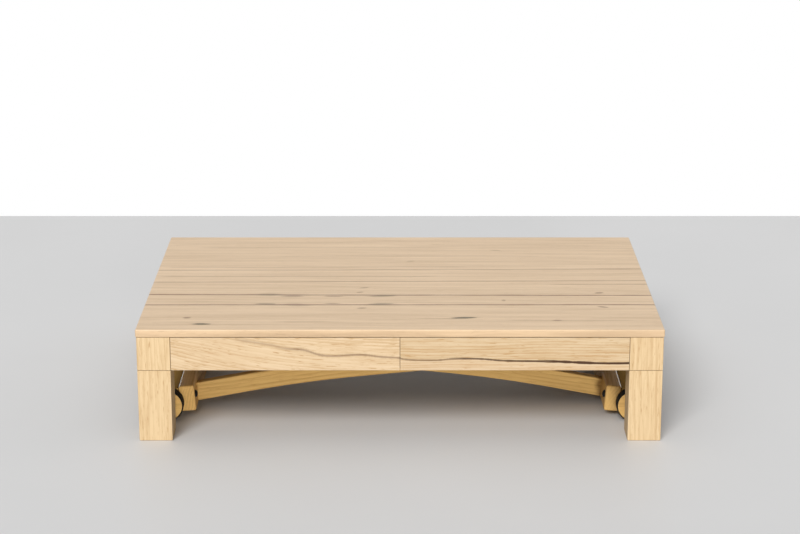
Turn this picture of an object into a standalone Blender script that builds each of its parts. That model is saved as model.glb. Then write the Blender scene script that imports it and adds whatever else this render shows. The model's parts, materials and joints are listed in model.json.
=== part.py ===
"""Lifting coffee table in knotty oak: a shallow box with two drawers on four stub legs, and under it a pair
of crossed frames on wooden wheels that fold flat or raise the box to dining height."""

import math

import bmesh
import bpy
from mathutils import Vector

# Driving dimensions in metres. X runs along the table, Y from front to back, Z up from the floor.
CLEAR = 0.0003

TOP_W = 1.200
TOP_D = 0.800
TOP_T = 0.019
TOP_ROUND = 0.003
OVERHANG = 0.002

LEG_SIDE = 0.076
LEG_H = 0.1695
LEG_ROUND = 0.0009
LEG_SEAM = 0.0008
FOOT_CHAMFER = 0.0015
FOOT_CHAMFER_H = 0.002
LEG_TENON_R = 0.016
LEG_TENON_L = 0.040

BOX_H = 0.0784
APRON_T = 0.022
TENON_T = 0.010
TENON_H = 0.046
TENON_L = 0.018
INNER_RAIL_T = 0.018
INNER_RAIL_GAP = 0.010
INNER_RAIL_LIFT = 0.003
HIDDEN_ROUND = 0.0008

FRONT_T = 0.019
FRONT_GAP = 0.0008
FINGER_CHAMFER = 0.008
DRAWER_WALL = 0.012
DRAWER_SIDE_H = 0.052
DRAWER_BOTTOM_T = 0.006
DRAWER_BOTTOM_LIFT = 0.004
DRAWER_GROOVE = 0.004
DRAWER_STOP = 0.003
RUN_GAP = 0.001
RUNNER_T = 0.006
RUNNER_LEDGE = 0.026
RUNNER_WEB_T = 0.010
RUNNER_WEB_H = 0.036
CENTRE_WEB_T = 0.012

WHEEL_R = 0.0378
WHEEL_T = 0.032
WHEEL_GAP = 0.002
WHEEL_CHAMFER = 0.0015
GROUND_GAP = 0.0002
TYRE_T = 0.005
TYRE_W = 0.0265
TYRE_PROUD = 0.003
AXLE_R = 0.006
AXLE_OUT = 0.025
AXLE_SOCKET = 0.020

BEAM_SETBACK = 0.162
BEAM_W = 0.0375
BEAM_H = 0.063
BEAM_ROUND = 0.005
BEAM_FROM_AXLE = 0.0256
BEAM_ABOVE_AXLE = 0.0032
BEAM_TILT_DEG = 4.6
AXLE_RAIL_R = 0.0235
AXLE_RAIL_SLOPE_DEG = 16.0
BOLT_HEAD_R = 0.0092
BOLT_HEAD_H = 0.006
BOLT_R = 0.004
BOLT_L = 0.050
BOLT_INSET = 0.014
BOLT_ABOVE_AXLE = 0.0102

ARM_H = 0.044
ARM_T = 0.025
ARM_INSET = 0.060
ARM_GAP = 0.005
ARM_BEND = 0.007
ARM_HUMP = 0.450
ARM_DROP = 0.0037
ARM_LET_IN = 0.015
ARM_ROUND = 0.003
HINGE_DROP = 0.0615
LIFT_DEG = 27.0
BAR_R = 0.007
PIN_R = 0.005
PIN_HEAD_R = 0.011
PIN_HEAD_H = 0.006
WASHER_R = 0.013
NUT_R = 0.010
NUT_H = 0.008
PIN_PROUD = 0.002

BRACKET_GAP = 0.0015
BRACKET_T = 0.025
BRACKET_HALF = 0.027
BRACKET_FOOT = 0.0165
BRACKET_CHAMFER = 0.008
BAR_END_GAP = 0.001
SLOT_ROOM = 0.0005
NOTCHES = 5
NOTCH_PITCH = 0.034
NOTCH_RISE = 0.005
RACK_MARGIN = 0.015

ROUND_STEPS = 28
SMALL_ROUND_STEPS = 20
DOME_STEPS = 4
ARM_STEPS = 14
ARM_HEAD_STEPS = 12
NOTCH_STEPS = 8

# Looks as colour, roughness and metallic value.
PALE_OAK_TOP = ((0.70, 0.54, 0.36), 0.42, 0.0)
PALE_OAK = ((0.84, 0.62, 0.36), 0.45, 0.0)
SHADED_OAK = ((0.72, 0.50, 0.25), 0.50, 0.0)
BLACK_STEEL = ((0.02, 0.02, 0.02), 0.40, 0.6)
BRIGHT_STEEL = ((0.60, 0.60, 0.60), 0.30, 1.0)
BLACK_RUBBER = ((0.018, 0.018, 0.018), 0.75, 0.0)

# Places that follow from the driving dimensions.
BOX_FLOOR = LEG_H + LEG_SEAM
BOX_ROOF = BOX_FLOOR + BOX_H
TOP_UNDER = BOX_ROOF + CLEAR
FACE_X = TOP_W / 2 - OVERHANG
FACE_Y = TOP_D / 2 - OVERHANG
INNER_X = FACE_X - LEG_SIDE
INNER_Y = FACE_Y - LEG_SIDE
LEG_X = FACE_X - LEG_SIDE / 2
LEG_Y = FACE_Y - LEG_SIDE / 2

AXLE_X = INNER_X + AXLE_OUT
AXLE_Z = GROUND_GAP + WHEEL_R
HINGE_Z = TOP_UNDER - HINGE_DROP
CROSS_Z = (AXLE_Z + HINGE_Z) / 2
HALF_ARM = math.hypot(AXLE_X, HINGE_Z - CROSS_Z)
FOLDED = math.atan2(HINGE_Z - CROSS_Z, AXLE_X)
SLIDE_TRAVEL = 2 * HALF_ARM * (math.cos(FOLDED) - math.cos(FOLDED + math.radians(LIFT_DEG)))

BEAM_END = FACE_Y - BEAM_SETBACK
OUTER_ARM_Y = BEAM_END - ARM_INSET
INNER_ARM_Y = OUTER_ARM_Y - ARM_T - ARM_GAP
RAIL_BACK = OUTER_ARM_Y + INNER_RAIL_GAP
RAIL_FACE = RAIL_BACK + INNER_RAIL_T
LEDGE_FLOOR = BOX_FLOOR + INNER_RAIL_LIFT
DRAWER_FLOOR = LEDGE_FLOOR + RUNNER_T + CLEAR

SIDES = {"left": -1, "right": 1}
ENDS = {"front": -1, "rear": 1}


def clear_scene():
    for old in list(bpy.data.objects):
        bpy.data.objects.remove(old, do_unlink=True)


def finish(name, colour, roughness, metallic):
    """A piece's own Principled material."""
    material = bpy.data.materials.new(name)
    material.use_nodes = True
    shader = material.node_tree.nodes["Principled BSDF"]
    shader.inputs["Base Color"].default_value = (*colour, 1.0)
    shader.inputs["Roughness"].default_value = roughness
    shader.inputs["Metallic"].default_value = metallic
    return material


def pivot(name, at, parent=None):
    """An empty on a joint's axis. The pieces that move about it are its children."""
    empty = bpy.data.objects.new(name, None)
    bpy.context.scene.collection.objects.link(empty)
    empty["at"] = at
    empty.location = Vector(at) - (Vector(parent["at"]) if parent else Vector())
    empty.parent = parent
    return empty


def piece(name, shape, parent, look, local=False):
    """Turns a bmesh into a named object under its pivot. The shape is in world places unless it is local."""
    if not local:
        bmesh.ops.translate(shape, verts=shape.verts, vec=-Vector(parent["at"]))
    bmesh.ops.recalc_face_normals(shape, faces=shape.faces)
    mesh = bpy.data.meshes.new(name)
    shape.to_mesh(mesh)
    shape.free()
    mesh.set_sharp_from_angle(angle=math.radians(50))
    made = bpy.data.objects.new(name, mesh)
    bpy.context.scene.collection.objects.link(made)
    made.parent = parent
    if look:
        mesh.materials.append(finish(name, *look))
    return made


def boolean(target, shape, operation, local=False, carrier=None):
    """Joins a shape to a piece or cuts it away, with the shape kept as a hidden helper."""
    name = f"{target.name}_{operation.lower()}_{len(target.modifiers)}"
    helper = piece(name, shape, carrier or target.parent, None, local)
    helper.hide_render = True
    helper.display_type = "WIRE"
    modifier = target.modifiers.new(name, "BOOLEAN")
    modifier.operation = operation
    modifier.object = helper
    modifier.solver = "EXACT"


def cut(target, shape, local=False, carrier=None):
    boolean(target, shape, "DIFFERENCE", local, carrier)


def join(target, shape):
    boolean(target, shape, "UNION")


def round_edges(target, width, segments=1):
    bevel = target.modifiers.new("rounded edges", "BEVEL")
    bevel.width = width
    bevel.segments = segments
    bevel.limit_method = "ANGLE"
    bevel.angle_limit = math.radians(40)


def box(x, y, z):
    """A box from its spans along X, Y and Z, each given in either order."""
    shape = bmesh.new()
    bmesh.ops.create_cube(shape, size=1.0)
    for vertex in shape.verts:
        for axis, span in enumerate((x, y, z)):
            vertex.co[axis] = max(span) if vertex.co[axis] > 0 else min(span)
    return shape


def prism(outline, y):
    """An outline of (x, z) points drawn out along Y, with its long sides smooth."""
    shape = bmesh.new()
    ends = [[shape.verts.new((px, py, pz)) for px, pz in outline] for py in y]
    for ring in ends:
        shape.faces.new(ring)
    for i in range(len(outline)):
        j = (i + 1) % len(outline)
        shape.faces.new((ends[0][i], ends[0][j], ends[1][j], ends[1][i])).smooth = True
    return shape


def turned(profile, at=(0.0, 0.0, 0.0), along=(0, 1, 0), hollow=False, steps=ROUND_STEPS):
    """A profile of (radius, distance) points turned about an axis. A hollow one is closed into a ring."""
    shape = bmesh.new()
    axis = Vector(along)
    first = axis.orthogonal().normalized()
    second = axis.cross(first)
    rings = []
    for radius, distance in profile:
        middle = Vector(at) + axis * distance
        if radius == 0:
            rings.append([shape.verts.new(middle)])
            continue
        turns = [2 * math.pi * k / steps for k in range(steps)]
        spokes = [first * math.cos(t) + second * math.sin(t) for t in turns]
        rings.append([shape.verts.new(middle + spoke * radius) for spoke in spokes])
    pairs = list(zip(rings, rings[1:]))
    if hollow:
        pairs.append((rings[-1], rings[0]))
    for low, high in pairs:
        for k in range(steps):
            n = (k + 1) % steps
            if len(low) == 1:
                shape.faces.new((low[0], high[k], high[n]))
            elif len(high) == 1:
                shape.faces.new((low[k], low[n], high[0]))
            else:
                shape.faces.new((low[k], low[n], high[n], high[k]))
    for face in shape.faces:
        face.smooth = True
    return shape


def rod(radius, start, end, at, along=(0, 1, 0), steps=ROUND_STEPS):
    profile = [(0, start), (radius, start), (radius, end), (0, end)]
    return turned(profile, at, along, steps=steps)


def arc(cx, cz, radius, start, end, steps):
    """Points on an arc in the XZ plane, angles in degrees from +X towards +Z."""
    turns = [math.radians(start + (end - start) * k / steps) for k in range(steps + 1)]
    return [(cx + radius * math.cos(t), cz + radius * math.sin(t)) for t in turns]


def domed_bolt(head_r, head_h, shank_r, shank_l):
    """Profile of a bolt with a low domed head, from the crown of the head to the shank's end."""
    turns = [math.pi / 2 * k / DOME_STEPS for k in range(1, DOME_STEPS)]
    crown = [(head_r * math.sin(t), -head_h * math.cos(t)) for t in turns]
    return [(0, -head_h), *crown, (head_r, 0), (shank_r, 0), (shank_r, shank_l), (0, shank_l)]


def make_top(table):
    top = piece("table_top", box((-TOP_W / 2, TOP_W / 2), (-TOP_D / 2, TOP_D / 2),
                                 (TOP_UNDER, TOP_UNDER + TOP_T)), table, PALE_OAK_TOP)
    round_edges(top, TOP_ROUND, 2)


def tenon_spans():
    middle = (BOX_FLOOR + BOX_ROOF) / 2
    inset = (APRON_T - TENON_T) / 2
    return inset, (middle - TENON_H / 2, middle + TENON_H / 2)


def mortise(block, x, y, z):
    """A pocket for a tenon with these spans, loose by the clearance all round."""
    loose = [(min(span) - CLEAR, max(span) + CLEAR) for span in (x, y, z)]
    cut(block, box(*loose))


def draw_in_foot(post, place):
    """Lengthens a post by a foot that is chamfered all round."""
    lower = min(post.faces, key=lambda face: face.calc_center_median().z)
    foot = bmesh.ops.extrude_discrete_faces(post, faces=[lower])["faces"][0]
    share = 1 - 2 * FOOT_CHAMFER / LEG_SIDE
    for vertex in foot.verts:
        vertex.co.x = place[0] + (vertex.co.x - place[0]) * share
        vertex.co.y = place[1] + (vertex.co.y - place[1]) * share
        vertex.co.z -= FOOT_CHAMFER_H


def make_corner(table, side, end):
    """One stub leg with a round tenon, and the corner block that sits on it."""
    sx, sy = SIDES[side], ENDS[end]
    place = (sx * LEG_X, sy * LEG_Y, 0)
    x = (sx * INNER_X, sx * FACE_X)
    y = (sy * INNER_Y, sy * FACE_Y)
    post = box(x, y, (FOOT_CHAMFER_H, LEG_H))
    draw_in_foot(post, place)
    leg = piece(f"leg_{end}_{side}", post, table, PALE_OAK)
    round_edges(leg, LEG_ROUND, 2)
    join(leg, rod(LEG_TENON_R, LEG_H - LEG_TENON_R, LEG_H + LEG_TENON_L, place, (0, 0, 1)))

    block = piece(f"corner_block_{end}_{side}", box(x, y, (BOX_FLOOR, BOX_ROOF)), table, PALE_OAK)
    round_edges(block, LEG_ROUND, 2)
    socket_top = LEG_H + LEG_TENON_L + CLEAR
    cut(block, rod(LEG_TENON_R + CLEAR, LEG_H - LEG_TENON_R, socket_top, place, (0, 0, 1)))
    inset, tenon_z = tenon_spans()
    tenon_x = (sx * (FACE_X - inset - TENON_T), sx * (FACE_X - inset))
    mortise(block, tenon_x, (sy * (INNER_Y - LEG_ROUND), sy * (INNER_Y + TENON_L)), tenon_z)
    if end == "rear":
        tenon_y = (FACE_Y - inset - TENON_T, FACE_Y - inset)
        mortise(block, (sx * (INNER_X - LEG_ROUND), sx * (INNER_X + TENON_L)), tenon_y, tenon_z)


def make_aprons(table):
    """Side and rear aprons, tenoned into the corner blocks, and the rail behind the drawers."""
    inset, tenon_z = tenon_spans()
    z = (BOX_FLOOR, BOX_ROOF)
    reach = TENON_L - CLEAR
    for side, sx in SIDES.items():
        shoulder = INNER_Y - CLEAR
        apron = piece(f"side_apron_{side}", box((sx * FACE_X, sx * (FACE_X - APRON_T)),
                                                (-shoulder, shoulder), z), table, PALE_OAK)
        round_edges(apron, LEG_ROUND, 2)
        tenon_x = (sx * (FACE_X - inset - TENON_T), sx * (FACE_X - inset))
        for sy in ENDS.values():
            join(apron, box(tenon_x, (sy * (shoulder - reach), sy * (INNER_Y + reach)), tenon_z))

    shoulder = INNER_X - CLEAR
    rear = piece("rear_apron", box((-shoulder, shoulder), (FACE_Y - APRON_T, FACE_Y), z), table, PALE_OAK)
    round_edges(rear, LEG_ROUND, 2)
    tenon_y = (FACE_Y - inset - TENON_T, FACE_Y - inset)
    for sx in SIDES.values():
        join(rear, box((sx * (shoulder - reach), sx * (INNER_X + reach)), tenon_y, tenon_z))

    rail_end = FACE_X - APRON_T - CLEAR
    rail = piece("inner_rail", box((-rail_end, rail_end), (-RAIL_FACE, -RAIL_BACK),
                                   (LEDGE_FLOOR, BOX_ROOF)), table, PALE_OAK)
    round_edges(rail, HIDDEN_ROUND)


def make_runners(table):
    """An L-shaped runner at each end and an inverted T in the middle, which carry the two drawers."""
    y = (-(FACE_Y - FRONT_T - RUN_GAP), -(RAIL_FACE + CLEAR))
    ledge_top = LEDGE_FLOOR + RUNNER_T
    for side, sx in SIDES.items():
        outer = INNER_X - CLEAR
        web = outer - RUNNER_WEB_T
        lip = web - RUNNER_LEDGE
        web_top = LEDGE_FLOOR + RUNNER_WEB_H
        outline = [(outer, LEDGE_FLOOR), (outer, web_top), (web, web_top),
                   (web, ledge_top), (lip, ledge_top), (lip, LEDGE_FLOOR)]
        shape = prism([(sx * px, pz) for px, pz in outline], y)
        runner = piece(f"side_runner_{side}", shape, table, PALE_OAK)
        round_edges(runner, HIDDEN_ROUND)

    web = CENTRE_WEB_T / 2
    lip = web + RUNNER_LEDGE
    half = [(web, BOX_ROOF), (web, ledge_top), (lip, ledge_top), (lip, LEDGE_FLOOR)]
    outline = half + [(-px, pz) for px, pz in reversed(half)]
    round_edges(piece("centre_runner", prism(outline, y), table, PALE_OAK), HIDDEN_ROUND)


def make_drawer(table, side):
    """A shallow drawer: a front flush with the corner blocks, grooved sides, a back and a let-in bottom."""
    sx = SIDES[side]
    drawer = pivot(f"drawer_{side}", (sx * INNER_X / 2, -FACE_Y, BOX_FLOOR), table)
    name = f"drawer_{side}"
    back_of_front = -FACE_Y + FRONT_T
    far = -(RAIL_FACE + DRAWER_STOP)
    front_x = (sx * FRONT_GAP / 2, sx * (INNER_X - FRONT_GAP))
    front = piece(f"{name}_front", box(front_x, (-FACE_Y, back_of_front),
                                       (BOX_FLOOR, TOP_UNDER - FRONT_GAP)), drawer, PALE_OAK)
    round_edges(front, LEG_ROUND, 2)
    lip = FINGER_CHAMFER
    pull = prism([(-2 * lip, -lip), (lip, -lip), (lip, 2 * lip)], (-INNER_X, INNER_X))
    for vertex in pull.verts:
        along, across, up = vertex.co.y, vertex.co.x, vertex.co.z
        vertex.co = (along, back_of_front + across, BOX_FLOOR + up)
    cut(front, pull)

    outer_face = INNER_X - CLEAR - RUNNER_WEB_T - RUN_GAP
    inner_face = CENTRE_WEB_T / 2 + RUN_GAP
    z = (DRAWER_FLOOR, DRAWER_FLOOR + DRAWER_SIDE_H)
    y = (back_of_front + CLEAR, far)
    bottom_z = (DRAWER_FLOOR + DRAWER_BOTTOM_LIFT, DRAWER_FLOOR + DRAWER_BOTTOM_LIFT + DRAWER_BOTTOM_T)
    groove_z = (bottom_z[0] - CLEAR, bottom_z[1] + CLEAR)
    outer_wall = outer_face - DRAWER_WALL
    inner_wall = inner_face + DRAWER_WALL
    groove_y = (y[0] - DRAWER_WALL, y[1] + DRAWER_WALL)
    walls = {"outer_side": (outer_wall, outer_face, outer_wall + DRAWER_GROOVE),
             "inner_side": (inner_wall, inner_face, inner_wall - DRAWER_GROOVE)}
    for label, (wall, face, groove) in walls.items():
        made = piece(f"{name}_{label}", box((sx * wall, sx * face), y, z), drawer, PALE_OAK)
        past = 2 * wall - groove
        cut(made, box((sx * past, sx * groove), groove_y, groove_z))

    between = (sx * (inner_wall + CLEAR), sx * (outer_wall - CLEAR))
    into = (sx * (inner_wall - DRAWER_GROOVE + CLEAR), sx * (outer_wall + DRAWER_GROOVE - CLEAR))
    piece(f"{name}_bottom", box(into, y, bottom_z), drawer, PALE_OAK)
    piece(f"{name}_back", box(between, (far - DRAWER_WALL, far), (groove_z[1], z[1])), drawer, PALE_OAK)


def arm_outline(side, grow=0.0):
    """Outline of a crossed arm with its foot on one side: a slow S, its foot dropped and its head lifted."""
    sx = SIDES[side]
    run = Vector((-sx * math.cos(FOLDED), math.sin(FOLDED)))
    up = Vector((sx * math.sin(FOLDED), math.cos(FOLDED)))
    middle = Vector((0.0, CROSS_Z))
    half = ARM_H / 2 + grow
    foot = -HALF_ARM + BEAM_FROM_AXLE + BEAM_W - ARM_LET_IN - grow
    above, below = [], []
    for k in range(ARM_STEPS + 1):
        u = foot + (HALF_ARM - foot) * k / ARM_STEPS
        wave = ARM_HUMP if u < 0 else HALF_ARM
        turn = math.pi * u / wave
        drop = ARM_DROP * (1 - u / HALF_ARM) / 2
        slope = ARM_DROP / (2 * HALF_ARM) - ARM_BEND * math.pi / wave * math.cos(turn)
        centre = middle + run * u - up * (ARM_BEND * math.sin(turn) + drop)
        across = (up - run * slope).normalized()
        above.append(centre + across * half)
        below.append(centre - across * half)
    tip = (above[-1] + below[-1]) / 2
    spoke = above[-1] - tip
    ahead = Vector((-sx * spoke.y, sx * spoke.x))
    if ahead.dot(run) < 0:
        ahead = -ahead
    turns = [math.pi * k / ARM_HEAD_STEPS for k in range(1, ARM_HEAD_STEPS)]
    head = [tip + spoke * math.cos(t) + ahead * math.sin(t) for t in turns]
    return [tuple(p) for p in above + head + below[::-1]]


def make_arm(frame, name, side, sy, near):
    """One arm of a crossed frame, with a hole for the crossing pin and one for the bar through its head."""
    far = near - ARM_T
    arm = piece(name, prism(arm_outline(side), (sy * near, sy * far)), frame, SHADED_OAK)
    round_edges(arm, ARM_ROUND, 2)
    past = (sy * (near + ARM_T), sy * (far - ARM_T))
    cut(arm, rod(PIN_R + CLEAR, *past, (0, 0, CROSS_Z)))
    cut(arm, rod(BAR_R + CLEAR, *past, (-SIDES[side] * AXLE_X, 0, HINGE_Z)))


def make_foot(frame, side, arm_near):
    """The beam across a frame's foot with the round-backed axle rail bolted to its outer face."""
    sx = SIDES[side]
    foot = pivot(f"{side}_foot", (sx * AXLE_X, 0, AXLE_Z), frame)
    foot.rotation_euler = (0, sx * math.radians(BEAM_TILT_DEG), 0)
    near, far = BEAM_FROM_AXLE, BEAM_FROM_AXLE + BEAM_W
    y = (-BEAM_END, BEAM_END)
    beam_z = (BEAM_ABOVE_AXLE - BEAM_H / 2, BEAM_ABOVE_AXLE + BEAM_H / 2)
    beam = piece(f"{side}_beam", box((-sx * near, -sx * far), y, beam_z), foot, SHADED_OAK, local=True)
    round_edges(beam, BEAM_ROUND, 2)
    for sy in ENDS.values():
        span = (sy * (arm_near + CLEAR), sy * (arm_near - ARM_T - CLEAR))
        cut(beam, prism(arm_outline(side, CLEAR), span), carrier=frame)

    flat = near - CLEAR
    back = arc(0, 0, AXLE_RAIL_R, 90 + AXLE_RAIL_SLOPE_DEG, 270, 16)
    rise = (flat - back[0][0]) * math.tan(math.radians(AXLE_RAIL_SLOPE_DEG))
    outline = [(flat, back[0][1] + rise), *back, (flat, -AXLE_RAIL_R)]
    shape = prism([(-sx * px, pz) for px, pz in outline], y)
    rail = piece(f"{side}_axle_rail", shape, foot, SHADED_OAK, local=True)
    cut(rail, rod(AXLE_R + CLEAR, -TOP_D, TOP_D, (0, 0, 0)), local=True)

    for end, sy in ENDS.items():
        at = (-sx * (far + CLEAR), sy * (BEAM_END - BOLT_INSET), BOLT_ABOVE_AXLE)
        inward = (sx, 0, 0)
        for wood in (beam, rail):
            hole = rod(BOLT_R + CLEAR, -BOLT_HEAD_H, BOLT_L + CLEAR, at, inward, SMALL_ROUND_STEPS)
            cut(wood, hole, local=True)
        profile = domed_bolt(BOLT_HEAD_R, BOLT_HEAD_H, BOLT_R, BOLT_L)
        bolt = turned(profile, at, inward, steps=SMALL_ROUND_STEPS)
        piece(f"{side}_beam_bolt_{end}", bolt, foot, BLACK_STEEL, local=True)


def make_wheel(carrier, side, end):
    """A turned wooden wheel with a rubber tyre let into its rim, blind on its outer face."""
    sx, sy = SIDES[side], ENDS[end]
    back = sy * (BEAM_END + WHEEL_GAP)
    hub = pivot(f"wheel_{end}_{side}_hub", (sx * AXLE_X, back, AXLE_Z), carrier)
    out = (0, sy, 0)
    rim = WHEEL_R - TYRE_PROUD
    tread = WHEEL_R - TYRE_T - CLEAR
    lip = (WHEEL_T - TYRE_W) / 2 - CLEAR
    socket = AXLE_R + CLEAR
    disc = [(0, AXLE_SOCKET), (socket, AXLE_SOCKET), (socket, 0),
            (rim - WHEEL_CHAMFER, 0), (rim, WHEEL_CHAMFER), (rim, lip), (tread, lip),
            (tread, WHEEL_T - lip), (rim, WHEEL_T - lip), (rim, WHEEL_T - WHEEL_CHAMFER),
            (rim - WHEEL_CHAMFER, WHEEL_T), (0, WHEEL_T)]
    piece(f"wheel_{end}_{side}", turned(disc, along=out), hub, SHADED_OAK, local=True)
    start = lip + CLEAR
    stop = start + TYRE_W
    bend = TYRE_PROUD / 2
    ring = [(WHEEL_R - TYRE_T, start), (WHEEL_R - bend, start), (WHEEL_R, start + bend),
            (WHEEL_R, stop - bend), (WHEEL_R - bend, stop), (WHEEL_R - TYRE_T, stop)]
    piece(f"tyre_{end}_{side}", turned(ring, along=out, hollow=True), hub, BLACK_RUBBER, local=True)


def make_axle(carrier, side):
    sx = SIDES[side]
    reach = BEAM_END + WHEEL_GAP + AXLE_SOCKET - CLEAR
    piece(f"{side}_axle", rod(AXLE_R, -reach, reach, (sx * AXLE_X, 0, AXLE_Z)), carrier, BRIGHT_STEEL)


def make_crossing(frame, end):
    """The pin that the two frames turn on, with a washer between the arms and a nut inside."""
    sy = ENDS[end]
    face = OUTER_ARM_Y + CLEAR
    at = (0, sy * face, CROSS_Z)
    inward = (0, -sy, 0)
    nut_at = 2 * ARM_T + ARM_GAP + 2 * CLEAR
    shank = nut_at + NUT_H + PIN_PROUD
    profile = domed_bolt(PIN_HEAD_R, PIN_HEAD_H, PIN_R, shank)
    piece(f"pivot_pin_{end}", turned(profile, at, inward, steps=SMALL_ROUND_STEPS), frame, BLACK_STEEL)
    hole = PIN_R + CLEAR
    near, far = ARM_T + 2 * CLEAR, ARM_T + ARM_GAP
    washer = [(hole, near), (WASHER_R, near), (WASHER_R, far), (hole, far)]
    shape = turned(washer, at, inward, hollow=True, steps=SMALL_ROUND_STEPS)
    piece(f"pivot_washer_{end}", shape, frame, BLACK_STEEL)
    nut = piece(f"pivot_nut_{end}", rod(NUT_R, nut_at, nut_at + NUT_H, at, inward, 6), frame, BLACK_STEEL)
    cut(nut, rod(hole, nut_at - NUT_H, nut_at + 2 * NUT_H, at, inward, SMALL_ROUND_STEPS))


def make_hinge(table, frame):
    """The bar through the heads of the outer arms, and the two blocks under the top that it turns in."""
    near = OUTER_ARM_Y - ARM_T - BRACKET_GAP
    reach = OUTER_ARM_Y - BAR_END_GAP
    piece("hinge_bar", rod(BAR_R, -reach, reach, (AXLE_X, 0, HINGE_Z)), frame, BRIGHT_STEEL)
    foot = HINGE_Z - BRACKET_FOOT
    half = [(BRACKET_HALF - BRACKET_CHAMFER, foot), (BRACKET_HALF, foot + BRACKET_CHAMFER),
            (BRACKET_HALF, BOX_ROOF)]
    outline = [(AXLE_X + px, pz) for px, pz in half]
    outline += [(AXLE_X - px, pz) for px, pz in reversed(half)]
    for end, sy in ENDS.items():
        span = (sy * near, sy * (near - BRACKET_T))
        block = piece(f"hinge_block_{end}", prism(outline, span), table, SHADED_OAK)
        round_edges(block, HIDDEN_ROUND)
        cut(block, rod(BAR_R + CLEAR, -TOP_D, TOP_D, (AXLE_X, 0, HINGE_Z)))


def slot_outline():
    """The slot that the sliding bar runs in, with a row of round notches in its upper edge."""
    half = BAR_R + SLOT_ROOM
    start, end = -AXLE_X, -AXLE_X + SLIDE_TRAVEL
    lean = math.degrees(math.asin((half - NOTCH_RISE) / half))
    lower = arc(start, HINGE_Z, half, 90, 270, NOTCH_STEPS) + arc(end, HINGE_Z, half, -90, 0, NOTCH_STEPS)
    upper = []
    for k in range(NOTCHES):
        at = end - k * NOTCH_PITCH
        first = 0 if k == 0 else lean
        upper += arc(at, HINGE_Z + NOTCH_RISE, half, first, 180 - lean, NOTCH_STEPS)
    return lower + upper


def make_racks(table, frame):
    """The bar through the heads of the inner arms, and the two notched rails under the top that hold it."""
    near = INNER_ARM_Y + BRACKET_GAP
    reach = near + BRACKET_T - BAR_END_GAP
    piece("slide_bar", rod(BAR_R, -reach, reach, (-AXLE_X, 0, HINGE_Z)), frame, BRIGHT_STEEL)
    half = BAR_R + SLOT_ROOM
    left = -AXLE_X - half - RACK_MARGIN
    right = -AXLE_X + SLIDE_TRAVEL + half + RACK_MARGIN
    foot = HINGE_Z - BRACKET_FOOT
    for end, sy in ENDS.items():
        span = (sy * near, sy * (near + BRACKET_T))
        rack = piece(f"rack_{end}", box((left, right), span, (foot, BOX_ROOF)), table, SHADED_OAK)
        round_edges(rack, HIDDEN_ROUND)
        cut(rack, prism(slot_outline(), (-TOP_D, TOP_D)))


def main():
    clear_scene()
    axle = pivot("right_axle_axis", (AXLE_X, 0, AXLE_Z))
    inner_frame = pivot("lift_axis", (AXLE_X, 0, AXLE_Z), axle)
    outer_frame = pivot("cross_axis", (0, 0, CROSS_Z), inner_frame)
    table = pivot("level_axis", (AXLE_X, 0, HINGE_Z), outer_frame)

    make_top(table)
    for side in SIDES:
        for end in ENDS:
            make_corner(table, side, end)
    make_aprons(table)
    make_runners(table)
    for side in SIDES:
        make_drawer(table, side)

    for end, sy in ENDS.items():
        make_arm(outer_frame, f"outer_arm_{end}", "left", sy, OUTER_ARM_Y)
        make_arm(inner_frame, f"inner_arm_{end}", "right", sy, INNER_ARM_Y)
        make_crossing(outer_frame, end)
    make_foot(outer_frame, "left", OUTER_ARM_Y)
    make_foot(inner_frame, "right", INNER_ARM_Y)
    make_hinge(table, outer_frame)
    make_racks(table, inner_frame)
    make_axle(outer_frame, "left")
    make_axle(axle, "right")
    for end in ENDS:
        make_wheel(outer_frame, "left", end)
        make_wheel(axle, "right", end)


main()
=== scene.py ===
import json
import math

import bmesh
import bpy
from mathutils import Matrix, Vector

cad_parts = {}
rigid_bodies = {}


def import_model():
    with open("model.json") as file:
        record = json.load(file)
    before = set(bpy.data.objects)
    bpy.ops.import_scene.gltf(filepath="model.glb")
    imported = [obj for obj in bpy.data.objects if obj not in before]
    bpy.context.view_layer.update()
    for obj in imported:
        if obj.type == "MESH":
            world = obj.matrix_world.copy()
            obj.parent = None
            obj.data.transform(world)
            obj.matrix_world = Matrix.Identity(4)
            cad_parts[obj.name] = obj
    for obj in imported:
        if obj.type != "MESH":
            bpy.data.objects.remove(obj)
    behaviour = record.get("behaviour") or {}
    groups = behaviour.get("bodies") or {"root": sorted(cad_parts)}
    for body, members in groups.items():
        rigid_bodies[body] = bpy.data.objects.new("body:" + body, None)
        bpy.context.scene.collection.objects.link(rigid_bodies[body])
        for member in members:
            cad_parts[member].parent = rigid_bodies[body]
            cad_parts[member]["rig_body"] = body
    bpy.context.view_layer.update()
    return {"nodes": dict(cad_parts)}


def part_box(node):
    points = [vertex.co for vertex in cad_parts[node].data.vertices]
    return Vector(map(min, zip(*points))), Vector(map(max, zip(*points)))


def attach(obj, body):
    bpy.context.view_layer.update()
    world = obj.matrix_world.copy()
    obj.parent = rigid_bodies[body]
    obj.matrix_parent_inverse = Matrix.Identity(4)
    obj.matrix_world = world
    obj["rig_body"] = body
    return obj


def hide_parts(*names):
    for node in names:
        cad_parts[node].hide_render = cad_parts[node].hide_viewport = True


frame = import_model()
solids = frame["nodes"]


# Table top: one board glued up from pale oak staves, planed flat, its edges eased by hand and oiled
# satin. Dark mineral lines run its whole length, and the knots along them are filled grey and
# sanded level.

def put(tree, kind, sockets=None, **settings):
    """Adds a node. A socket given here is either linked or set to a plain value."""
    made = tree.nodes.new(kind)
    for key, value in settings.items():
        setattr(made, key, value)
    for key, value in (sockets or {}).items():
        if isinstance(value, bpy.types.NodeSocket):
            tree.links.new(value, made.inputs[key])
        else:
            made.inputs[key].default_value = value
    return made


def place_on(tree):
    """The place on the piece, measured in the table at rest."""
    return put(tree, "ShaderNodeTexCoord").outputs["Object"]


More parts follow.
